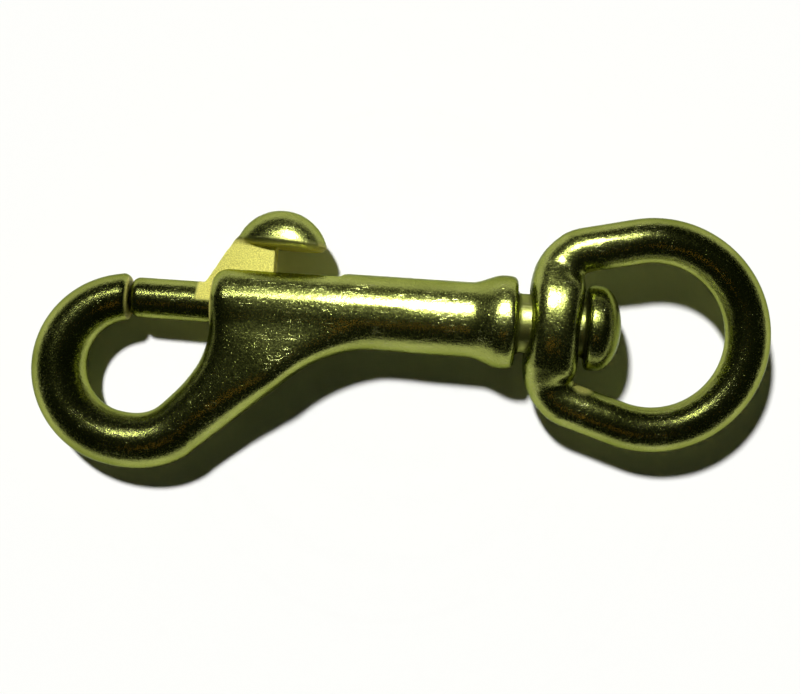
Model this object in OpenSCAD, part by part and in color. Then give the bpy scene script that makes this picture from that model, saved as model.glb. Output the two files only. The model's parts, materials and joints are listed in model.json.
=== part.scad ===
// Brass bolt snap with a swivelling strap eye, lying on a bench.
// A cast hook and barrel hold a sprung bolt that closes the hook, and an eye turns on a riveted stud.
// Each piece is drawn along the barrel: X runs from the hook to the eye, Y to the thumb knob,
// and the origin is the centre of the eye's round end. The last step lays the whole down.

/* [Barrel] */
// Outside diameter of the barrel
barrel_d = 8.4; // [8:0.1:9.4]
// Length from the barrel's front face to the back of its collar
barrel_len = 34; // [33:0.5:42]
// Rounding of the barrel's front edge
front_round = 1.8; // [0.5:0.1:2]
// Diameter of the collar that the eye turns against
collar_d = 10.4; // [10:0.1:12]
// Length over which the barrel flares to the collar
flare_len = 3.6; // [3:0.1:8]
// Length of the collar's straight rim
collar_rim = 0.8; // [0.4:0.1:1.5]
// Rounding of the collar's rear edge
collar_round = 0.8; // [0.3:0.1:1.2]

/* [Hook] */
// Radius of the hook's loop, along the middle of its bar
loop_r = 8; // [7.5:0.1:10]
// Thickness of the bar around the loop
loop_d = 6.2; // [5.6:0.1:6.8]
// Thickness of the bar at its tip
tip_d = 5.3; // [5:0.1:5.6]
// Rounding of the tip's end
tip_round = 0.8; // [0.3:0.1:0.9]
// Clear way into the hook, from its tip to the barrel
gate_len = 9.2; // [8:0.1:12]
// Slope of the neck that joins the loop to the barrel
neck_angle = 45; // [42:1:48]
// Radius of the bend between the neck and the barrel
bend_r = 20; // [18:0.5:24]
// Thickness of the neck where its bend begins
neck_d = 8.2; // [7.6:0.1:8.6]
// Extra thickness on the outside where the neck runs into the loop
heel = 0.2; // [0:0.1:0.8]
// How far the neck stands out from the loop's circle
neck_out = 0.5; // [0:0.1:0.8]

/* [Bolt] */
// Diameter of the sliding rod
bolt_d = 4.5; // [3.8:0.1:4.6]
// Length of rod inside the barrel when the hook is shut
tail_len = 13; // [11.5:0.5:14]
// How far the thumb pulls the bolt back
bolt_travel = 7; // [5:0.5:7.5]
// Gap around the rod in its bore
bore_gap = 0.2; // [0.15:0.05:0.3]
// Thickness of the arm that carries the knob
arm_t = 2.6; // [2.2:0.1:3]
// Gap on each side of the arm in its slot
slot_gap = 0.25; // [0.2:0.05:0.4]
// Length of the arm where it leaves the slot
arm_len = 6.4; // [5:0.1:7]
// Slope of the arm's front edge
arm_angle = 60; // [55:1:66]
// Radius of the ball that the knob's dome is cut from
knob_r = 5.3; // [4.8:0.1:5.4]
// Height of the knob's flat underside above the barrel
knob_lift = 2.9; // [2.6:0.1:3.6]
// Height of the knob's dome
knob_h = 3.7; // [3.2:0.1:4.2]
// Depth of the knob's oval rim, across the plane of the hook
knob_d = 6.2; // [5.6:0.1:8]
// Height of the tapered skirt under the knob's rim
knob_skirt = 0.5; // [0.3:0.1:1]
// Tilt of the knob towards the eye
knob_tilt = 5; // [0:1:8]

/* [Spring] */
// Thickness of the spring's wire
wire_d = 0.6; // [0.5:0.05:0.65]
// Number of turns
spring_turns = 8; // [6:1:9]

/* [Swivel eye] */
// Width of the strap that the eye takes
strap_w = 16; // [14:0.5:20]
// Inside length of the eye from its crossbar to its round end
eye_len = 16.4; // [15:0.1:20]
// Thickness of the eye's bar
bar_d = 5; // [4.6:0.1:5.4]
// Slope at which the eye's sides draw in to its crossbar
side_angle = 15; // [8:1:16]
// Radius of the eye's corners, along the middle of its bar
corner_r = 3.4; // [2.7:0.1:3.6]
// Depth of the crossbar's boss, across the stud
boss_d = 10.4; // [9.8:0.1:10.8]
// Length of the boss along the crossbar
boss_len = 14; // [12:0.1:15]
// Thickness of the crossbar along the stud
boss_t = 6; // [5:0.1:6.6]
// Diameter of the stud that the eye turns on
stud_d = 6.6; // [5.8:0.1:6.8]
// Gap around the stud in the eye's hole
stud_gap = 0.3; // [0.25:0.05:0.4]
// Diameter of the stud's riveted head
head_d = 9.5; // [8.5:0.1:10.4]
// Thickness of the riveted head
head_t = 3.9; // [3:0.1:4.4]
// Gap between the collar and the crossbar
collar_gap = 1.2; // [0.6:0.1:2]
// Gap between the crossbar and the riveted head
head_gap = 0.5; // [0.3:0.1:1.2]
// How far the eye is turned from the plane of the hook
eye_turn = 5; // [0:1:12]
// How far the loose eye leans sideways on its stud
eye_lean = 2; // [0:0.5:2.5]

/* [Hidden] */
$fn = 64;

// How far a cutter runs past the face that it cuts
over = 1;
// Points on a quarter turn of a rounded profile, and around a cast bar
arc_steps = 6;
bar_sides = 32;

barrel_r = barrel_d / 2;
collar_r = collar_d / 2;
loop_t = loop_d / 2;
tip_t = tip_d / 2;
neck_t = neck_d / 2;
bolt_r = bolt_d / 2;
bore_r = bolt_r + bore_gap;
bar_r = bar_d / 2;
boss_r = boss_d / 2;
stud_r = stud_d / 2;
head_r = head_d / 2;
ring_r = strap_w / 2 + bar_r;

// Places along the barrel
bar_x = -(eye_len - strap_w / 2) - bar_r;
head_x = bar_x + boss_t / 2 + head_gap;
collar_x = bar_x - boss_t / 2 - collar_gap;
front_x = collar_x - barrel_len;
tip_x = front_x - gate_len;
tail_x = front_x + tail_len;

// The bar of the hook still rises a little at its tip, so the loop's centre lies behind the tip
tip_rise = 2.5;
loop_x = tip_x + loop_r * sin(tip_rise);

// The neck is the loop's tangent, and the bend turns it onto the barrel's axis
neck_turn = 180 + neck_angle;
foot_r = loop_r + neck_out;
neck_foot = [loop_x + foot_r * sin(neck_angle), -loop_r - foot_r * cos(neck_angle)];
bend_tangent = bend_r * tan(neck_angle / 2);
bend_x = neck_foot.x - neck_foot.y / tan(neck_angle) + bend_tangent;
neck_top = [bend_x - bend_r * sin(neck_angle), -bend_r + bend_r * cos(neck_angle)];

// The bend starts this far below the barrel's skin, and its web reaches up to just short of the barrel's front
skin = 0.2;
// The neck is thinner across the hook's plane than along it, so its sides dive clearly into the barrel's
neck_flat = 0.35;
web_set_back = 0.1;
web_reach = (neck_top.x - front_x) / sin(neck_angle) - web_set_back;
web_fullness = 2.5;
// Shares of the loop's way to the tip at which the neck's stand-out has faded and the bar starts to taper
heel_end = 0.25;
taper_start = 0.55;

// Shallow seat in the tip for the bolt's nose
seat_r = 4.2;
seat_depth = 0.35;
seat_gap = 0.15;
nose_r = seat_r - seat_gap;
nose_round = 0.9;
nose_x = tip_x - seat_depth + seat_gap;

// The arm's rear edge is set back from its front edge at the barrel's skin
arm_root = 0.4;
arm_front_x = front_x + arm_root;
arm_back_x = arm_front_x + arm_len;
stop_gap = 0.5;
slot_end_x = arm_back_x + bolt_travel + stop_gap;
slot_w = arm_t + 2 * slot_gap;
slot_round = 0.5;

// The bolt turns over in its slot under the knob's weight, until this gap is left beside the arm
rest_gap = 0.05;
bolt_droop = asin((slot_gap - rest_gap) / barrel_r);

// Hollow foot of the arm's front edge on the rod, which is round, so the foot sinks into it
hollow_r = 1.6;
foot_bite = 0.1;
foot_sink = bolt_r - sqrt(bolt_r * bolt_r - arm_t * arm_t / 4) + foot_bite;

// How far the arm's top runs up into the knob
arm_bite = 0.35;

// The knob's ball touches the line of the arm's front edge
knob_base_y = barrel_r + knob_lift;
ball_drop = knob_r - knob_h;
ball_y = knob_base_y - ball_drop * cos(knob_tilt);
ball_x = arm_front_x + (ball_y - barrel_r) / tan(arm_angle) + knob_r / sin(arm_angle);
rim_r = sqrt(knob_r * knob_r - ball_drop * ball_drop);
rim_t = knob_d / 2;

// The spring fills the bore behind the bolt, and its turns don't touch when it is pressed together
spring_gap = 0.05;
spring_room = 1.2;
coil_gap = 0.1;
turn_gap = 0.04;
spring_len = bolt_travel + (spring_turns + spring_room) * wire_d;
spring_r = bolt_r - wire_d / 2 - coil_gap;
bore_end_x = tail_x + spring_len + 2 * spring_gap;
end_turns = 1;

// The crossbar has flat sides that fade into the eye's round bar, and its boss runs into the bar in a hollow
hole_r = stud_r + stud_gap;
hole_edge = 0.8;
flat_start = hole_r + hole_edge;
flat_end = boss_len / 2 + hole_edge;
flat_fullness = 1.2;
hollow_power = 3;
head_rim = 1.3;
head_edge = 0.4;

// The snap lies on its collar and on the loop of its hook, which meets the bench at this angle.
// The bench then slopes along the loop's radius there, from the loop down to the collar
bench_angle = 170;
touch = [cos(bench_angle), sin(bench_angle)];
touch_run = loop_r - (collar_x - collar_round - loop_x) * touch.x - loop_r * touch.y;
bench_slope = (collar_r - loop_t) / touch_run;
lie_roll = atan(-bench_slope * touch.y);
lie_pitch = atan(-bench_slope * touch.x);

function ease(t) = t * t * (3 - 2 * t);

function blend(a, b, t) = a + (b - a) * t;

function round_edge(centre, r, from, to) =
    [for (i = [0:arc_steps])
        let (a = blend(from, to, i / arc_steps))
        [centre.x + r * cos(a), centre.y + r * sin(a)]];

module lay_down() {
    rotate([lie_roll, -lie_pitch, 0])
        children();
}

// Turns what is drawn upwards along Z to run along the barrel
module along_barrel(x) {
    translate([x, 0, 0])
        rotate([0, 90, 0])
            children();
}

// Skin over a list of rings that all have the same number of points. Its ends are capped,
// or the last ring runs on into the first
module skin_over(rings, endless = false) {
    sides = len(rings[0]);
    last = len(rings) - 1;
    points = [for (ring = rings) each ring];
    walls = [for (i = [0:endless ? last : last - 1], j = [0:sides - 1])
        let (k = (j + 1) % sides, a = i * sides, b = (i + 1) % len(rings) * sides)
        each [[a + j, b + j, b + k], [a + j, b + k, a + k]]];
    first_cap = [for (j = [0:sides - 1]) j];
    last_cap = [for (j = [0:sides - 1]) last * sides + sides - 1 - j];
    polyhedron(points, concat(walls, endless ? [] : [first_cap, last_cap]));
}

// Barrel, collar, stud and riveted head, turned about the barrel's axis
module shank() {
    flare_x = collar_x - collar_round - collar_rim - flare_len;
    flare_steps = 8;
    flare = [for (i = [0:flare_steps])
        let (t = i / flare_steps)
        [blend(barrel_r, collar_r, ease(t)), flare_x + flare_len * t]];
    dome_x = head_x + head_rim;
    dome_h = head_t - head_rim;
    dome = [for (i = [0:2 * arc_steps])
        let (a = 90 * i / (2 * arc_steps))
        [head_r * cos(a), dome_x + dome_h * sin(a)]];
    along_barrel(0)
        rotate_extrude()
            polygon(concat(
                [[0, front_x]],
                round_edge([barrel_r - front_round, front_x + front_round], front_round, -90, 0),
                flare,
                round_edge([collar_r - collar_round, collar_x - collar_round], collar_round, 0, 90),
                [[stud_r, collar_x], [stud_r, head_x]],
                round_edge([head_r - head_edge, head_x + head_edge], head_edge, -90, 0),
                dome));
}

// One cross-section of the hook's bar: its centre, its heading, how far it reaches to the loop's inside
// and outside, its half depth, and how much fuller than an ellipse it is
function section(at, heading, inside, outside, depth, full) =
    let (power = 2 / (2 + full))
    [for (i = [0:bar_sides - 1])
        let (a = -360 * i / bar_sides, c = cos(a), s = sin(a))
        let (reach = (c > 0 ? inside : outside) * sign(c) * pow(abs(c), power))
        [at.x + reach * sin(heading), at.y - reach * cos(heading), depth * sign(s) * pow(abs(s), power)]];

function bend_section(t) =
    let (a = neck_angle * t, start = barrel_r - skin)
    section([bend_x - bend_r * sin(a), -bend_r + bend_r * cos(a)], 180 + a,
        blend(start, web_reach, t * t), blend(start, neck_t, t), blend(start, neck_t, t) - neck_flat,
        web_fullness * t);

function neck_section(t) =
    let (web = pow(1 - t, 3), bar = blend(neck_t, loop_t, t))
    section(blend(neck_top, neck_foot, t), neck_turn,
        blend(loop_t, web_reach, web), bar + heel * ease(t), bar - neck_flat * (1 - t), web_fullness * web);

function loop_section(t) =
    let (heading = blend(neck_turn, tip_rise, t), taper = max(0, (t - taper_start) / (1 - taper_start)))
    let (bar = blend(loop_t, tip_t, ease(taper)), stand = 1 - ease(min(1, t / heel_end)), r = loop_r + neck_out * stand)
    section([loop_x - r * sin(heading), -loop_r + r * cos(heading)], heading, bar, bar + heel * stand, bar, 0);

function tip_section(a) =
    let (back = tip_round * (1 - sin(a)), bar = tip_t - tip_round * (1 - cos(a)))
    section([tip_x - back * cos(tip_rise), -back * sin(tip_rise)], tip_rise, bar, bar, bar, 0);

// Hook and neck, drawn from inside the barrel round to the tip
module hook_bar() {
    bend_steps = 10;
    neck_steps = 10;
    loop_steps = 40;
    tip_steps = 4;
    skin_over(concat(
        [for (i = [0:bend_steps - 1]) bend_section(i / bend_steps)],
        [for (i = [0:neck_steps - 1]) neck_section(i / neck_steps)],
        [for (i = [0:loop_steps - 2]) loop_section(i / loop_steps)],
        [for (i = [0:tip_steps]) tip_section(90 * i / tip_steps)]));
}

// Slot for the bolt's arm, open at the barrel's front and with rounded corners at its end
module slot() {
    corner = [slot_end_x - slot_round, slot_w / 2 - slot_round];
    rotate([-90, 0, 0])
        linear_extrude(barrel_r + over)
            polygon(concat(
                [[front_x - over, slot_w / 2], [front_x - over, -slot_w / 2]],
                round_edge([corner.x, -corner.y], slot_round, -90, 0),
                round_edge(corner, slot_round, 0, 90)));
}

module hook_body() {
    color("darkgoldenrod")
        difference() {
            union() {
                shank();
                hook_bar();
            }
            along_barrel(front_x - over)
                cylinder(r = bore_r, h = bore_end_x - front_x + over);
            slot();
            translate([tip_x - seat_depth + seat_r, 0, 0])
                sphere(r = seat_r);
        }
}

// Round rod with a nose that fits the seat in the hook's tip
module rod() {
    nose_half = asin((bolt_r - nose_round) / (nose_r - nose_round));
    nose_centre_x = nose_x + nose_r;
    corner_x = nose_centre_x - (nose_r - nose_round) * cos(nose_half);
    face = [for (i = [0:arc_steps])
        let (a = nose_half * i / arc_steps)
        [nose_r * sin(a), nose_centre_x - nose_r * cos(a)]];
    along_barrel(0)
        rotate_extrude()
            polygon(concat(
                face,
                round_edge([bolt_r - nose_round, corner_x], nose_round, nose_half - 90, 0),
                [[bolt_r, tail_x], [0, tail_x]]));
}

// Flat arm that stands on the rod with a hollow foot, and reaches through the slot into the knob
module arm() {
    top_y = knob_base_y + arm_bite;
    front_top_x = arm_front_x + (top_y - barrel_r) / tan(arm_angle);
    // The foot's arc starts a little inside the rod and runs into the arm's front edge
    foot_y = bolt_r - foot_sink;
    foot_centre_x = arm_front_x + (foot_y + hollow_r - barrel_r) / tan(arm_angle) - hollow_r / sin(arm_angle);
    foot = round_edge([foot_centre_x, foot_y + hollow_r], hollow_r, -90, arm_angle - 90);
    translate([0, 0, -arm_t / 2])
        linear_extrude(arm_t)
            polygon(concat(
                [[foot_centre_x, 0]],
                foot,
                [[front_top_x, top_y], [arm_back_x, top_y], [arm_back_x, 0]]));
}

// Oval ring of the knob at a height over the middle of its ball
function knob_ring(height, half_w, half_t) =
    [for (i = [0:bar_sides - 1])
        let (a = -360 * i / bar_sides)
        [half_w * cos(a), height, half_t * sin(a)]];

// Oval dome on a short skirt that tapers in below its rim. Seen from the bench's side it is cut from a ball
module knob() {
    dome_steps = 12;
    dome_top = 80;
    skirt = knob_ring(ball_drop - knob_skirt, rim_r - knob_skirt, rim_t - knob_skirt);
    dome = [for (i = [0:dome_steps])
        let (a = dome_top * i / dome_steps, height = ball_drop + knob_h * sin(a))
        knob_ring(height, sqrt(knob_r * knob_r - height * height), rim_t * cos(a))];
    translate([ball_x, ball_y, 0])
        rotate([0, 0, -knob_tilt])
            skin_over(concat([skirt], dome));
}

module bolt() {
    color("goldenrod")
        rotate([-bolt_droop, 0, 0])
            union() {
                rod();
                arm();
                knob();
            }
}

// How far the middle of the wire has risen after a number of turns; the end turns lie closed
function coil_height(turn) =
    let (pitch = (spring_len - wire_d * (1 + 2 * end_turns)) / (spring_turns - 2 * end_turns))
    turn < end_turns ? turn * wire_d
    : turn > spring_turns - end_turns ? spring_len - wire_d - (spring_turns - turn) * wire_d
    : end_turns * wire_d + (turn - end_turns) * pitch;

module spring() {
    steps_per_turn = 16;
    wire_sides = 8;
    wire_r = (wire_d - turn_gap) / 2;
    color("silver")
        along_barrel(tail_x + spring_gap + wire_d / 2)
            skin_over([for (i = [0:spring_turns * steps_per_turn])
                let (turn = i / steps_per_turn, a = 360 * turn)
                [for (j = [0:wire_sides - 1])
                    let (b = -360 * j / wire_sides, r = spring_r + wire_r * cos(b))
                    [r * cos(a), r * sin(a), coil_height(turn) + wire_r * sin(b)]]]);
}

// Where the eye's side meets its round end, and the centre of the corner that turns it into the crossbar
side_start = ring_r * [-sin(side_angle), cos(side_angle)];
corner_x = bar_x + corner_r;
corner_y = side_start.y + (corner_x - side_start.x) * tan(side_angle) - corner_r / cos(side_angle);

// Half depth of the eye's bar at a distance from the boss's middle
function eye_depth(away) =
    let (arch = boss_r * sqrt(max(0, 1 - pow(away / boss_len * 2, 2))))
    pow(pow(bar_r, hollow_power) + pow(arch, hollow_power), 1 / hollow_power);

// One cross-section of the eye's bar, flat sided near the boss and round elsewhere
function eye_section(at, heading) =
    let (away = norm(at - [bar_x, 0]), near = max(0, min(1, (flat_end - away) / (flat_end - flat_start))))
    let (half = blend(bar_r, boss_t / 2, ease(near)))
    section(at, heading, half, half, eye_depth(away), flat_fullness * ease(near));

function eye_corner(heading) =
    eye_section([corner_x - corner_r * sin(heading), corner_y + corner_r * cos(heading)], heading);

function eye_end(heading) = eye_section(ring_r * [-sin(heading), cos(heading)], heading);

function mirrored(ring) = [for (p = ring) [p.x, -p.y, p.z]];

// The eye's bar, from the middle of the crossbar round its end and back
module eye_bar() {
    bar_steps = 10;
    corner_steps = 8;
    end_steps = 20;
    straight = [for (i = [1:bar_steps - 1]) eye_section([bar_x, corner_y * i / bar_steps], 90)];
    corner = [for (i = [0:corner_steps]) eye_corner(blend(90, side_angle, i / corner_steps))];
    end = [for (i = [0:end_steps - 1]) eye_end(blend(side_angle, -90, i / end_steps))];
    half = concat(straight, corner, end);
    other_half = [for (i = [len(half) - 1:-1:0]) mirrored(half[i])];
    skin_over(concat([eye_section([bar_x, 0], 90)], half, [eye_end(-90)], other_half), endless = true);
}

// Turns the eye about the stud, and leans it about the middle of its hole
module hang_eye() {
    rotate([eye_turn, 0, 0])
        translate([bar_x, 0, 0])
            rotate([0, 0, -eye_lean])
                translate([-bar_x, 0, 0])
                    children();
}

module swivel_eye() {
    color("darkgoldenrod")
        hang_eye()
            difference() {
                eye_bar();
                along_barrel(bar_x - boss_t / 2 - over)
                    cylinder(r = hole_r, h = boss_t + 2 * over);
            }
}

lay_down() hook_body();
lay_down() bolt();
lay_down() spring();
lay_down() swivel_eye();
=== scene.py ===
import json
from math import asin, copysign, cos, degrees, pi, radians, sin, sqrt, tan, tau

import bmesh
import bpy
from mathutils import Matrix, Vector


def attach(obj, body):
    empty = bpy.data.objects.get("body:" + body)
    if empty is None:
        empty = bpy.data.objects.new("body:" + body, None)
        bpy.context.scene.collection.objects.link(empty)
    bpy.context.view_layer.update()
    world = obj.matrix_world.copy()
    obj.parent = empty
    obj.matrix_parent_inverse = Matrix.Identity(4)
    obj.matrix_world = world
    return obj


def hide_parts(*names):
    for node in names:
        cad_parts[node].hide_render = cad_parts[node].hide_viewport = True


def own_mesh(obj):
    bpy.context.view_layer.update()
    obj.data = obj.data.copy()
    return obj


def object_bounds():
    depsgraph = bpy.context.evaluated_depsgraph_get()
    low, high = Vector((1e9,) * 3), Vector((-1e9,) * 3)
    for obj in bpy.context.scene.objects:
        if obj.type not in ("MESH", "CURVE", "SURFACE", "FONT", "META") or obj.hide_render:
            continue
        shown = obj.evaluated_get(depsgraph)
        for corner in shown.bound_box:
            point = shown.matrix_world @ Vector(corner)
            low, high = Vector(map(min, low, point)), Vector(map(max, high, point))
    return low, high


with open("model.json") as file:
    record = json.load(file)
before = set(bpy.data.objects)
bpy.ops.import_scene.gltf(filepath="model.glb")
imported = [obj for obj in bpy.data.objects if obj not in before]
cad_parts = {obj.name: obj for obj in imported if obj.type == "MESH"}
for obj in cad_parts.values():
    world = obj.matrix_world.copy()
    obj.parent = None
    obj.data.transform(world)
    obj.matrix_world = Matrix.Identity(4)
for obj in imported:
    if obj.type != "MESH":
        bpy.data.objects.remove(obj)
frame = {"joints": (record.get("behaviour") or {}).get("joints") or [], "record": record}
cad_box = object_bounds()


# Hook body: the hook, its neck, the bored barrel, the collar and the swivel stud, sand cast in brass
# in one piece. It was tumbled bright after casting, which left every edge soft and the skin finely
# pitted. The stud's end is peened over into a button head once the eye is on it.

# The snap is worked out in millimetres along its barrel, then laid down as it rests on the bench
barrel_axis = Vector(frame["joints"][0]["axis"])
hook_normal = Vector(frame["record"]["mounts"][1]["axis"])
thumb_side = hook_normal.cross(barrel_axis).normalized()
hook_normal = barrel_axis.cross(thumb_side)
lying = Matrix((barrel_axis, thumb_side, hook_normal)).transposed().to_4x4() @ Matrix.Scale(0.001, 4)

# Barrel, from its rounded front edge to the flared collar
barrel_r, front_x, front_round = 4.2, -49.1, 1.8
collar_r, collar_x, collar_round, collar_rim, flare_len = 5.2, -15.1, 0.8, 0.8, 3.6
# Swivel stud and its peened head
stud_r, head_r, head_x = 3.3, 4.75, -7.4
head_edge, head_rim, head_t = 0.5, 1.3, 3.9
# Bore for the bolt, slot for its arm, and how far the shapes that cut them stand out of the casting
bore_r, bore_end_x = 2.45, -23.48
slot_w, slot_end_x, slot_round = 3.1, -34.8, 0.5
cut_out = 1
# Loop of the hook, and its tip with the hollow seat for the bolt's nose
loop_centre, loop_r, loop_t = Vector((-57.951, -8, 0)), 8, 3.1
tip, tip_t, tip_round, tip_rise, taper_start = Vector((-58.3, 0, 0)), 2.65, 0.8, radians(2.5), 0.55
seat_r, seat_depth = 4.2, 0.35
# Neck that starts just under the barrel's skin, its heel on the loop, and the web that fills its bend
root_r = barrel_r - 0.2
neck_slope, neck_t, neck_flat, neck_out = radians(45), 4.1, 0.2, 0.5
heel, heel_end = 0.2, 0.25
bend_centre, bend_r = Vector((-29.646, -20, 0)), 20
web_reach, web_fullness = 7.41, 2.5


def arc(x, r, radius, start, end, steps=8):
    """Points (x, r) of an outline's rounded edge; angles in degrees from the barrel's axis."""
    turns = [radians(start + (end - start) * i / steps) for i in range(steps + 1)]
    return [(x + radius * cos(a), r + radius * sin(a)) for a in turns]


def turned(outline, steps=128):
    """A round solid, its outline of (x, r) points spun about the barrel's axis."""
    bm = bmesh.new()
    points = [bm.verts.new((x, r, 0)) for x, r in outline]
    line = [bm.edges.new(pair) for pair in zip(points, points[1:])]
    bmesh.ops.spin(bm, geom=points + line, cent=(0, 0, 0), axis=(1, 0, 0), angle=tau, steps=steps,
        use_merge=True)
    bmesh.ops.remove_doubles(bm, verts=bm.verts, dist=1e-4)
    bmesh.ops.recalc_face_normals(bm, faces=bm.faces)
    return bm


def plate(outline, thickness):
    """A flat solid, half its thickness on each side of the plane of its outline of (x, y) points."""
    bm = bmesh.new()
    side = bm.faces.new([bm.verts.new((x, y, -thickness / 2)) for x, y in outline])
    grown = bmesh.ops.extrude_face_region(bm, geom=[side])["geom"]
    far_side = [g for g in grown if isinstance(g, bmesh.types.BMVert)]
    bmesh.ops.translate(bm, vec=(0, 0, thickness), verts=far_side)
    bmesh.ops.recalc_face_normals(bm, faces=bm.faces)
    return bm


def drawn(sections, endless=False, sides=64):
    """A cast bar drawn through a row of sections. Each is its middle, its heading in the hook's plane,
    its reach to the inside and to the outside, its half depth, and how far it is squared up."""
    bm = bmesh.new()
    rings = []
    for middle, heading, inside, outside, depth, square in sections:
        inward = Vector((sin(heading), -cos(heading), 0))
        for v in bmesh.ops.create_circle(bm, segments=sides, radius=1)["verts"]:
            reach, rise = [copysign(abs(c) ** (2 / (2 + square)), c) for c in v.co.xy]
            v.co = middle + inward * reach * (inside if reach > 0 else outside) + Vector((0, 0, rise * depth))
        rings.append(bm.edges[:][-sides:])
    for ring, after in zip(rings, rings[1:]):
        bmesh.ops.bridge_loops(bm, edges=ring + after)
    if endless:
        bmesh.ops.bridge_loops(bm, edges=rings[-1] + rings[0])
    else:
        bmesh.ops.contextual_create(bm, geom=rings[0])
        bmesh.ops.contextual_create(bm, geom=rings[-1])
    bmesh.ops.recalc_face_normals(bm, faces=bm.faces)
    return bm


def as_object(bm, name):
    mesh = bpy.data.meshes.new(name)
    bm.to_mesh(mesh)
    bm.free()
    piece = bpy.data.objects.new(name, mesh)
    bpy.context.scene.collection.objects.link(piece)
    return piece


def cast(name, solids, hollows, grit):
    """Joins the solids, takes the hollows out of them and closes it all under one skin of even grit."""
    piece = as_object(solids[0], name)
    tools = [("UNION", as_object(bm, "core")) for bm in solids[1:]]
    tools += [("DIFFERENCE", as_object(bm, "core")) for bm in hollows]
    for action, tool in tools:
        joint = piece.modifiers.new(action, "BOOLEAN")
        joint.operation, joint.solver, joint.object = action, "MANIFOLD", tool
    skin = piece.modifiers.new("skin", "REMESH")
    skin.mode, skin.voxel_size = "VOXEL", grit
    shape = piece.evaluated_get(bpy.context.evaluated_depsgraph_get())
    bm = bmesh.new()
    bm.from_mesh(shape.to_mesh())
    shape.to_mesh_clear()
    piece.modifiers.clear()
    for action, tool in tools:
        bpy.data.objects.remove(tool)
    return piece, bm


def tumble(bm, turns, where=lambda co: True):
    """Wears the skin smooth, all over or only where the casting was rubbed most."""
    worn = [v for v in bm.verts if where(v.co)]
    for _ in range(turns):
        bmesh.ops.smooth_vert(bm, verts=worn, factor=0.5, use_axis_x=True, use_axis_y=True, use_axis_z=True)


def finished(piece, bm):
    """Lays the piece down in its place and shades it smooth."""
    bm.transform(lying)
    bm.to_mesh(piece.data)
    bm.free()
    piece.data.shade_smooth()
    return piece


def mix(a, b, t):
    return a + (b - a) * t


def ease(t):
    return t * t * (3 - 2 * t)


rim_x = collar_x - collar_round - collar_rim
flare = [(rim_x - flare_len * (1 - t), mix(barrel_r, collar_r, ease(t))) for t in [i / 12 for i in range(13)]]
dome_x, dome_h = head_x + head_rim, head_t - head_rim
dome = [(dome_x + dome_h * sin(turn), head_r * cos(turn)) for turn in [pi * i / 40 for i in range(1, 21)]]
barrel = turned(
    [(front_x, 0)]
    + arc(front_x + front_round, barrel_r - front_round, front_round, 180, 90)
    + flare
    + arc(collar_x - collar_round, collar_r - collar_round, collar_round, 90, 0)
    + [(collar_x, stud_r), (head_x, stud_r)]
    + arc(head_x + head_edge, head_r - head_edge, head_edge, 180, 90)
    + dome)

neck_top = bend_centre + bend_r * Vector((-sin(neck_slope), cos(neck_slope), 0))
neck_foot = loop_centre + (loop_r + neck_out) * Vector((sin(neck_slope), -cos(neck_slope), 0))
hook = []
for t in [i / 24 for i in range(24)]:
    turn, side = neck_slope * t, mix(root_r, neck_t, t)
    middle = bend_centre + bend_r * Vector((-sin(turn), cos(turn), 0))
    inside = mix(root_r, web_reach, t * t)
    hook.append((middle, pi + turn, inside, side, side - neck_flat, web_fullness * t))
for t in [i / 24 for i in range(24)]:
    side, web = mix(neck_t, loop_t, t), (1 - t) ** 3
    middle = neck_top.lerp(neck_foot, t)
    hook.append((middle, pi + neck_slope, mix(loop_t, web_reach, web), side + heel * ease(t),
        side - neck_flat * (1 - t), web_fullness * web))
for t in [i / 96 for i in range(94)]:
    heading = mix(pi + neck_slope, tip_rise, t)
    side = mix(loop_t, tip_t, ease(max(0, (t - taper_start) / (1 - taper_start))))
    stand = 1 - ease(min(1, t / heel_end))
    middle = loop_centre + (loop_r + neck_out * stand) * Vector((-sin(heading), cos(heading), 0))
    hook.append((middle, heading, side, side + heel * stand, side, 0))
for turn in [radians(90 * i / 8) for i in range(9)]:
    middle = tip - tip_round * (1 - sin(turn)) * Vector((cos(tip_rise), sin(tip_rise), 0))
    side = tip_t - tip_round * (1 - cos(turn))
    hook.append((middle, tip_rise, side, side, side, 0))

mouth_x = front_x - cut_out
bore = turned([(mouth_x, 0), (mouth_x, bore_r), (bore_end_x, bore_r), (bore_end_x, 0)])
slot_corner_x, slot_corner_z, slot_depth = slot_end_x - slot_round, slot_w / 2 - slot_round, barrel_r + 2 * cut_out
slot = plate(
    [(mouth_x, slot_w / 2), (mouth_x, -slot_w / 2)]
    + arc(slot_corner_x, -slot_corner_z, slot_round, -90, 0)
    + arc(slot_corner_x, slot_corner_z, slot_round, 0, 90), slot_depth)
slot.transform(Matrix.Translation((0, slot_depth / 2, 0)) @ Matrix.Rotation(pi / 2, 4, "X"))
seat = bmesh.new()
seat_place = Matrix.Translation((tip.x - seat_depth + seat_r, 0, 0))
bmesh.ops.create_uvsphere(seat, u_segments=64, v_segments=48, radius=seat_r, matrix=seat_place)


def off_axis(co):
    return Vector((co.y, co.z)).length


hook_body, bm = cast("snap_hook_body", [barrel, drawn(hook)], [bore, slot, seat], grit=0.2)
tumble(bm, 4)
# Where the neck leaves the barrel, and the slot's lips, are worn most
tumble(bm, 60, lambda co: -50.5 < co.x < -27 and co.y < 0.5 and off_axis(co) > 3.2)
tumble(bm, 8, lambda co: co.x < -33.8 and co.y > 2.6 and abs(co.z) < 2.6 and off_axis(co) > 3.3)


def fade(value, start, end):
    """0 before start, 1 after end, eased between; end may lie before start."""
    return ease(max(0, min(1, (value - start) / (end - start))))


def paint(bm, name, amount):
    """A mask on the piece's points: how far a finish, or a painted shade, shows there, from the point's place on the
    snap.
    """
    layer = bm.verts.layers.float.new(name)
    for v in bm.verts:
        v[layer] = amount(v.co)


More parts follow.
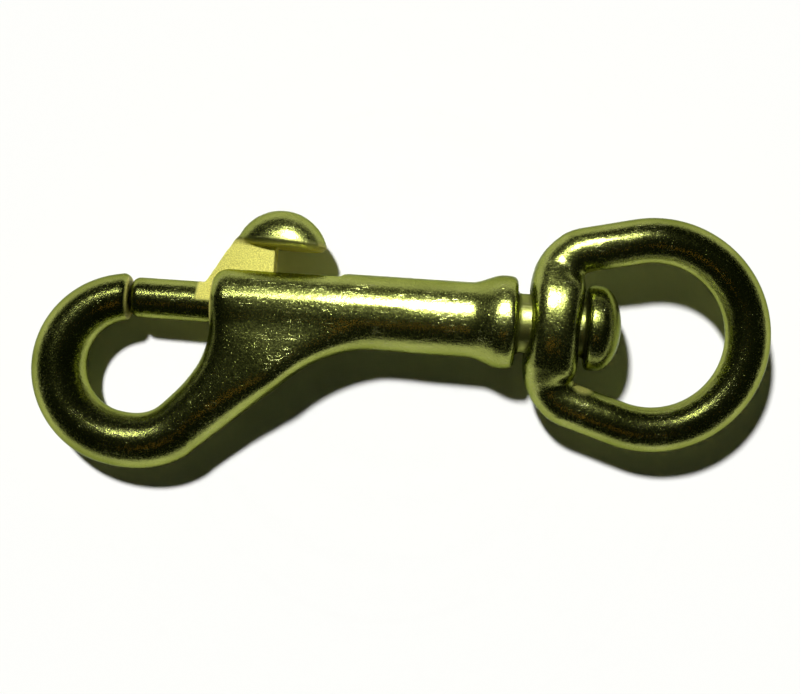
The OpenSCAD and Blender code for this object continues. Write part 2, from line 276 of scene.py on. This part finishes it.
# The tip's end, the bore and the slot's walls keep the sandy skin of the mould
paint(bm, "sandy", lambda co: max(
    fade(co.x, tip.x - 0.4, tip.x - 0.15) * fade(co.x, tip.x + 0.6, tip.x + 0.3) * fade(co.y, -3.6, -3.2),
    fade(off_axis(co), 3.6, 3) * fade(co.x, -22, -24) * fade(co.x, -50.5, -50),
    fade(abs(co.z), 1.75, 1.55) * fade(co.y, 2.4, 2.8) * fade(co.x, -34.4, -34.9) * fade(co.x, -53, -51)))
# Painted shade darkens the corner between collar and stud and the stud under the head, which are also made rougher
paint(bm, "painted_shade", lambda co: 0.35 * fade(off_axis(co), 4.4, 3.4) * fade(co.x, -16, -15) * fade(co.x, -6.5, -7.6))
# The thumb has rubbed the front of the barrel a little smoother
paint(bm, "rubbed", lambda co: fade(co.x, -31, -39) * fade(co.x, -51, -50) * fade(co.y, -2.5, 0))
finished(hook_body, bm)


def node(tree, kind, sockets={}, **settings):
    """A shader node, with its settings, and its sockets set to a value or fed by another node's."""
    made = tree.nodes.new("ShaderNode" + kind)
    for name, value in settings.items():
        setattr(made, name, value)
    for name, value in sockets.items():
        if isinstance(value, bpy.types.NodeSocket):
            tree.links.new(value, made.inputs[name])
        else:
            made.inputs[name].default_value = value
    return made


def ranged(tree, value, low, high, to_low=0.0, to_high=1.0):
    ends = {"Value": value, "From Min": low, "From Max": high, "To Min": to_low, "To Max": to_high}
    return node(tree, "MapRange", ends).outputs["Result"]


def maths(tree, operation, a, b):
    return node(tree, "Math", {0: a, 1: b}, operation=operation).outputs[0]


def tinted(tree, mask, under, over):
    return node(tree, "Mix", {0: mask, 6: under, 7: over}, data_type="RGBA").outputs[2]


# Skin that a tumbling barrel leaves on cast brass: fine pits, short scratches, a few dings, cloudy tone
skin = bpy.data.node_groups.new("tumbled_skin", "ShaderNodeTree")
for wanted in ("Pits per Metre", "Scratches"):
    skin.interface.new_socket(wanted, in_out="INPUT", socket_type="NodeSocketFloat")
for result in ("Grain", "Cloud", "Scratch", "Height"):
    skin.interface.new_socket(result, in_out="OUTPUT", socket_type="NodeSocketFloat")
given = skin.nodes.new("NodeGroupInput")
results = skin.nodes.new("NodeGroupOutput")
place = node(skin, "TexCoord").outputs["Object"]


def noise(tree, vector, scale, detail, roughness=0.5):
    sockets = {"Vector": vector, "Scale": scale, "Detail": detail, "Roughness": roughness}
    return node(tree, "TexNoise", sockets).outputs["Fac"]


pits = noise(skin, place, given.outputs["Pits per Metre"], 3, 0.7)
swell = noise(skin, place, 1500, 1)
nick = ranged(skin, noise(skin, place, 6000, 0), 0.73, 0.81)
cloud = noise(skin, place, 170, 3)
lines = []
for turn, stretch in ((0.35, (420, 9000, 9000)), (-0.8, (380, 8000, 8000)), (1.9, (450, 10000, 10000))):
    along = node(skin, "Mapping", {"Vector": place, "Rotation": (0.2, 0.1, turn), "Scale": stretch}).outputs[0]
    lines.append(ranged(skin, noise(skin, along, 1, 1), 0.69, 0.74))
patch = ranged(skin, noise(skin, place, 330, 1), 0.42, 0.62)
scratch = maths(skin, "MAXIMUM", maths(skin, "MAXIMUM", lines[0], lines[1]), lines[2])
scratch = maths(skin, "MULTIPLY", maths(skin, "MULTIPLY", scratch, patch), given.outputs["Scratches"])
ding = ranged(skin, node(skin, "TexVoronoi", {"Vector": place, "Scale": 420}).outputs["Distance"], 0.14, 0.05)
# Heights in hundredths of a millimetre
worn = maths(skin, "ADD", maths(skin, "MULTIPLY", pits, 2), maths(skin, "MULTIPLY", swell, 2.6))
for mark, depth in ((nick, 1), (scratch, 0.5), (ding, 1.2)):
    worn = maths(skin, "SUBTRACT", worn, maths(skin, "MULTIPLY", mark, depth))
for value, result in zip((pits, cloud, scratch, worn), results.inputs):
    skin.links.new(value, result)


def cast_brass(name, dull, bright, sandy, gloss, satin, pits, scratches):
    """Tumbled brass that is matt and sandy where the mask says so, with painted shade darkening it, and roughening
    it, where the shade mask says so.
    """
    made = bpy.data.materials.new(name)
    made.use_nodes = True
    tree = made.node_tree
    shader = tree.nodes["Principled BSDF"]
    worn = tree.nodes.new("ShaderNodeGroup")
    worn.node_tree = skin
    worn.inputs["Pits per Metre"].default_value, worn.inputs["Scratches"].default_value = pits, scratches
    raw = node(tree, "Attribute", attribute_name="sandy").outputs["Fac"]
    painted_shade = node(tree, "Attribute", attribute_name="painted_shade").outputs["Fac"]
    rubbed = node(tree, "Attribute", attribute_name="rubbed").outputs["Fac"]
    sand = noise(tree, node(tree, "TexCoord").outputs["Object"], 7000, 2, 0.6)
    tone = tinted(tree, ranged(tree, worn.outputs["Cloud"], 0.35, 0.68), dull, bright)
    tone = tinted(tree, maths(tree, "MULTIPLY", worn.outputs["Scratch"], 0.3), tone, (0.8, 0.77, 0.45, 1))
    hollow = [c * 0.6 for c in sandy[:3]] + [1]
    sandy_tone = tinted(tree, ranged(tree, sand, 0.35, 0.65), hollow, sandy)
    tone = tinted(tree, raw, tone, sandy_tone)
    # Painted shade: the tone is darkened towards a dark brown where the painted_shade mask is set
    tone = tinted(tree, maths(tree, "MULTIPLY", painted_shade, 0.8), tone, (0.06, 0.045, 0.015, 1))
    rough = ranged(tree, worn.outputs["Grain"], 0.36, 0.64, gloss, satin)
    rough = maths(tree, "ADD", rough, maths(tree, "MULTIPLY", maths(tree, "MAXIMUM", raw, painted_shade), 0.35))
    height = maths(tree, "MULTIPLY", worn.outputs["Height"], ranged(tree, rubbed, 0, 1, 1, 0.9))
    height = maths(tree, "ADD", height, maths(tree, "MULTIPLY", maths(tree, "MULTIPLY", sand, raw), 5))
    bump = node(tree, "Bump", {"Height": height, "Strength": 1, "Distance": 0.00001}).outputs["Normal"]
    tree.links.new(tone, shader.inputs["Base Color"])
    tree.links.new(rough, shader.inputs["Roughness"])
    tree.links.new(ranged(tree, raw, 0, 1, 1, 0.2), shader.inputs["Metallic"])
    tree.links.new(bump, shader.inputs["Normal"])
    shader.inputs["Specular Tint"].default_value = (0.42, 0.45, 0.37, 1)
    return made


brass_dull, brass_bright = (0.24, 0.27, 0.062, 1), (0.35, 0.385, 0.1, 1)
brass = cast_brass("tumbled_brass", brass_dull, brass_bright, sandy=(0.7, 0.66, 0.15, 1),
    gloss=0.19, satin=0.29, pits=4200, scratches=1.4)
hook_body.data.materials.append(brass)
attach(hook_body, "hook_body")
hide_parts("hook_body")


# Bolt: round rod, the arm that comes out through the slot and the domed thumb knob, one brass casting.
# The rod and the dome are polished; the arm keeps its sandy skin. It slides in the bore.

# Rod with its domed nose; the bolt has rolled a little in its slot
bolt_r, nose_x, nose_r, nose_round, tail_x = 2.25, -58.5, 4.05, 0.9, -36.1
droop = radians(2.7294)
# Arm, with a sloping front that runs out into the rod in a rounded foot
arm_t, arm_front_x, arm_back_x, arm_top_y, arm_slope = 2.6, -48.7, -42.3, 7.45, radians(60)
foot_r, foot_y = 1.6, 1.7364
# Knob: an oval dome, cut off above its centre, over a short skirt
knob_centre, knob_r, knob_cut, knob_h = Vector((-41.826, 5.506, 0)), 5.3, 1.6, 3.7
knob_skirt, knob_tilt, rim_r, rim_t = 0.5, radians(2.5), 5.0527, 3.1

nose_half = asin((bolt_r - nose_round) / (nose_r - nose_round))
nose_centre_x = nose_x + nose_r
corner_x = nose_centre_x - (nose_r - nose_round) * cos(nose_half)
nose = [(nose_centre_x - nose_r * cos(nose_half * i / 8), nose_r * sin(nose_half * i / 8)) for i in range(8)]
nose += arc(corner_x, bolt_r - nose_round, nose_round, 180 - degrees(nose_half), 90)
rod = turned(nose + [(tail_x, bolt_r), (tail_x, 0)])

foot_x = arm_front_x + (foot_y + foot_r - barrel_r) / tan(arm_slope) - foot_r / sin(arm_slope)
front_top_x = arm_front_x + (arm_top_y - barrel_r) / tan(arm_slope)
arm_outline = [(foot_x, 0)] + arc(foot_x, foot_y + foot_r, foot_r, -90, -30)
arm_outline += [(front_top_x, arm_top_y), (arm_back_x, arm_top_y), (arm_back_x, 0)]
arm = plate(arm_outline, arm_t)

knob_axis = Vector((sin(knob_tilt), cos(knob_tilt), 0))
knob_rings = [(knob_cut - knob_skirt, rim_r - knob_skirt, rim_t - knob_skirt)]
for turn in [radians(88 * i / 24) for i in range(25)]:
    height = knob_cut + knob_h * sin(turn)
    knob_rings.append((height, sqrt(knob_r ** 2 - height ** 2), rim_t * cos(turn)))
knob_heading = pi / 2 - knob_tilt
knob = drawn([
    (knob_centre + height * knob_axis, knob_heading, wide, wide, deep, 0) for height, wide, deep in knob_rings])

bolt, bm = cast("snap_hook_bolt", [rod, arm, knob], [], grit=0.13)
tumble(bm, 4)
# The arm's front corners run smoothly into the dome
tumble(bm, 30, lambda co: co.x < -46 and 6 < co.y < 8.6 and abs(co.z) > 0.3)
# Arm, its foot on the rod and the knob's underside are as they came out of the mould
paint(bm, "sandy", lambda co: max(
    fade(co.y, 2.3, 2.9) * fade(co.y, 7.4, 6.9) * fade(abs(co.z), 1.8, 1.5),
    fade(co.x, -50.9, -50.5) * fade(co.y, -0.2, 0.3) * fade(co.y, 4, 3),
    0.6 * fade(co.y, 7.2, 6.6) * fade(co.y, 5, 5.6)))
# Painted shade: the band where the arm's top meets the knob is darkened, where the knob's shadow falls, and made
# rougher
paint(bm, "painted_shade", lambda co: 0.5 * fade(co.y, 6.4, 7) * fade(co.y, 7.7, 7.1))
bm.transform(Matrix.Rotation(-droop, 4, "X"))
finished(bolt, bm)
bolt_brass = cast_brass("bolt_brass", brass_dull, brass_bright, sandy=(0.74, 0.7, 0.15, 1),
    gloss=0.2, satin=0.3, pits=4200, scratches=0.8)
bolt.data.materials.append(bolt_brass)
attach(bolt, "bolt")
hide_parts("bolt")


# Spring: a coiled wire that pushes the bolt forward, closed at both ends, loose in the bore.
# It is drawn steel wire, seen only through the slot when the bolt is back.

wire_r, coil_r, coil_turns, spring_len = 0.28, 1.85, 8, 12.52
closed_rise, spring_x, bolt_travel = 0.6, tail_x + 0.05, 7

coil = bmesh.new()
wire_end = Matrix.Translation((spring_x + closed_rise / 2, coil_r, 0))
bmesh.ops.create_circle(coil, segments=16, radius=wire_r, matrix=wire_end, cap_ends=True)
end = coil.faces[:] + coil.edges[:] + coil.verts[:]
open_rise = (spring_len - closed_rise * 3) / (coil_turns - 2)
for turns, rise in [(1, closed_rise), (coil_turns - 2, open_rise), (1, closed_rise)]:
    steps = 40 * turns
    drawn_out = bmesh.ops.spin(coil, geom=end, cent=(0, 0, 0), axis=(1, 0, 0),
        dvec=(rise * turns / steps, 0, 0), angle=tau * turns, steps=steps)
    end = drawn_out["geom_last"]
bmesh.ops.remove_doubles(coil, verts=coil.verts, dist=1e-4)
bmesh.ops.recalc_face_normals(coil, faces=coil.faces)
spring = as_object(bmesh.new(), "snap_hook_spring")
finished(spring, coil)

wire = bpy.data.materials.new("drawn_wire")
wire.use_nodes = True
tree = wire.node_tree
shader = tree.nodes["Principled BSDF"]
oil = noise(tree, node(tree, "TexCoord").outputs["Object"], 1500, 3)
steel = tinted(tree, ranged(tree, oil, 0.4, 0.65), (0.5, 0.5, 0.48, 1), (0.3, 0.28, 0.24, 1))
tree.links.new(steel, shader.inputs["Base Color"])
tree.links.new(ranged(tree, oil, 0.35, 0.7, 0.28, 0.5), shader.inputs["Roughness"])
shader.inputs["Metallic"].default_value = 1
spring.data.materials.append(wire)
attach(spring, "hook_body")
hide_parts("spring")
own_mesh(spring)


# Swivel eye: a round strap eye whose crossbar swells into a boss for the stud, one brass casting.
# It hangs loose on the stud between the collar and the peened head, a little turned and leaning.

# Bar of the eye: the crossbar, the corners, the sloping sides and the round end
bar_x, bar_r, ring_r, side_slope, corner_r = -10.9, 2.5, 10.5, radians(15), 3.4
# Boss around the stud, and where along the bar its flat sides begin and end
boss_r, boss_half, boss_t, hole_r = 5.2, 7, 6, 3.6
flat_start, flat_end, squareness = 4.4, 7.8, 1.2
# How the loose eye lies
eye_turn, eye_lean = radians(5), radians(2)


def eye_section(middle, heading):
    """A section of the eye's bar: round, but flat sided and arched over the stud near the boss."""
    away = (middle - Vector((bar_x, 0, 0))).length
    flat = ease(max(0, min(1, (flat_end - away) / (flat_end - flat_start))))
    arch = boss_r * sqrt(max(0, 1 - (away / boss_half) ** 2))
    half = mix(bar_r, boss_t / 2, flat)
    depth = (bar_r ** 3 + arch ** 3) ** (1 / 3)
    return middle, heading, half, half, depth, squareness * flat


def outward(heading):
    return Vector((-sin(heading), cos(heading), 0))


side_start = ring_r * outward(side_slope)
corner = Vector((bar_x + corner_r, 0, 0))
corner.y = side_start.y + (corner.x - side_start.x) * tan(side_slope) - corner_r / cos(side_slope)
side_end = corner + corner_r * outward(side_slope)
half_eye = [eye_section(Vector((bar_x, corner.y * i / 20, 0)), pi / 2) for i in range(1, 20)]
for a in [mix(pi / 2, side_slope, i / 24) for i in range(25)]:
    half_eye.append(eye_section(corner + corner_r * outward(a), a))
half_eye += [eye_section(side_end.lerp(side_start, i / 12), side_slope) for i in range(1, 12)]
for a in [mix(side_slope, -pi / 2, i / 64) for i in range(64)]:
    half_eye.append(eye_section(ring_r * outward(a), a))
other_half = [eye_section(Vector((m.x, -m.y, 0)), pi - a) for m, a, *sizes in reversed(half_eye)]
crossbar = [eye_section(Vector((bar_x, 0, 0)), pi / 2)]
round_end = [eye_section(Vector((ring_r, 0, 0)), -pi / 2)]
eye_bar = drawn(crossbar + half_eye + round_end + other_half, endless=True)
hole_start, hole_end = bar_x - boss_t, bar_x + boss_t
hole = turned([(hole_start, 0), (hole_start, hole_r), (hole_end, hole_r), (hole_end, 0)])

eye, bm = cast("snap_hook_eye", [eye_bar], [hole], grit=0.17)
tumble(bm, 4)
# The corners are rounded off most
tumble(bm, 25, lambda co: co.x < -4 and 4.6 < abs(co.y) < 10)
# The corners inside the eye and the hole's wall are out of the tumbling stones' reach
paint(bm, "sandy", lambda co: max(
    0.6 * fade((co - Vector((-7.2, -6.6, 0.5))).length, 1.7, 0.8),
    0.4 * fade((co - Vector((-7.4, 6.4, 0))).length, 1.6, 0.8),
    fade(off_axis(co), 3.75, 3.6) * fade(co.x, -6, -7)))
# Painted shade darkens the eye around the hole, where it meets the collar and the head, and makes it rougher
paint(bm, "painted_shade", lambda co: 0.4
    * fade(off_axis(co), 4.6, 3.7) * fade(abs(co.x - bar_x), 2.2, 2.6) * fade(co.x, -4, -6))
at_bar = Matrix.Translation((bar_x, 0, 0))
lean = at_bar @ Matrix.Rotation(-eye_lean, 4, "Z") @ at_bar.inverted()
bm.transform(Matrix.Rotation(eye_turn, 4, "X") @ lean)
finished(eye, bm)
eye.data.materials.append(brass)
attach(eye, "swivel_eye")
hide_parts("swivel_eye")


# Bench: a plain white board that the snap lies on. A soft lamp from the upper left casts the shadows; a
# small lamp close above the barrel, a weak fill and a warm glow put the gleams on the brass. The camera
# looks straight down.

board = bmesh.new()
bmesh.ops.create_circle(board, segments=96, radius=6, cap_ends=True)
bmesh.ops.translate(board, vec=(cad_box[0].x / 2, 0, cad_box[0].z), verts=board.verts)
bench = as_object(board, "bench")
white_board = bpy.data.materials.new("white_board")
white_board.use_nodes = True
shader = white_board.node_tree.nodes["Principled BSDF"]
shader.inputs["Base Color"].default_value = (0.92, 0.92, 0.9, 1)
shader.inputs["Roughness"].default_value = 0.8
shader.inputs["Specular IOR Level"].default_value = 0
bench.data.materials.append(white_board)


def light(name, kind, energy, towards, **settings):
    """A lamp that stands in the direction given, seen from the snap."""
    made = bpy.data.objects.new(name, bpy.data.lights.new(name, kind))
    made.data.energy = energy
    for setting, value in settings.items():
        setattr(made.data, setting, value)
    made.rotation_mode = "QUATERNION"
    made.rotation_quaternion = Vector(towards).to_track_quat("Z", "Y")
    bpy.context.scene.collection.objects.link(made)
    return made


upper_left = (-0.28, 0.46, 0.84)
lamp = light("lamp", "SUN", 4, upper_left, angle=radians(5))
lamp.visible_glossy = False
spark = light("spark", "SPOT", 1.5, (0.003, 0.066, 0.11), shadow_soft_size=0.005, spot_size=radians(25), spot_blend=1)
spark.location = (-0.025, 0.068, 0.11)
spark.visible_diffuse = False
fill = light("fill", "SUN", 0.3, upper_left, angle=radians(5))
fill.visible_diffuse = False
glow = light("glow", "SUN", 0.01, (-0.07, -0.5, 0.86), angle=radians(4), color=(1, 0.5, 0.12))

world = bpy.data.worlds.new("studio")
bpy.context.scene.world = world
world.use_nodes = True
tree = world.node_tree
rise = node(tree, "SeparateXYZ", {0: node(tree, "TexCoord").outputs["Generated"]}).outputs["Z"]
sky = tinted(tree, ranged(tree, rise, 0.02, 0.08), (0.5, 0.5, 0.5, 1), (0.006, 0.008, 0.005, 1))
tree.links.new(sky, tree.nodes["Background"].inputs["Color"])

camera = bpy.data.objects.new("camera", bpy.data.cameras.new("camera"))
camera.data.sensor_fit, camera.data.sensor_width, camera.data.lens = "HORIZONTAL", 36, 64.96
camera.data.clip_start, camera.data.clip_end = 0.01, 20
camera.location = (-0.0277, -0.00355, 0.16)
camera.rotation_euler = (0, 0, radians(3.95))
bpy.context.scene.collection.objects.link(camera)
bpy.context.scene.camera = camera
bpy.context.scene.view_settings.view_transform = "Standard"
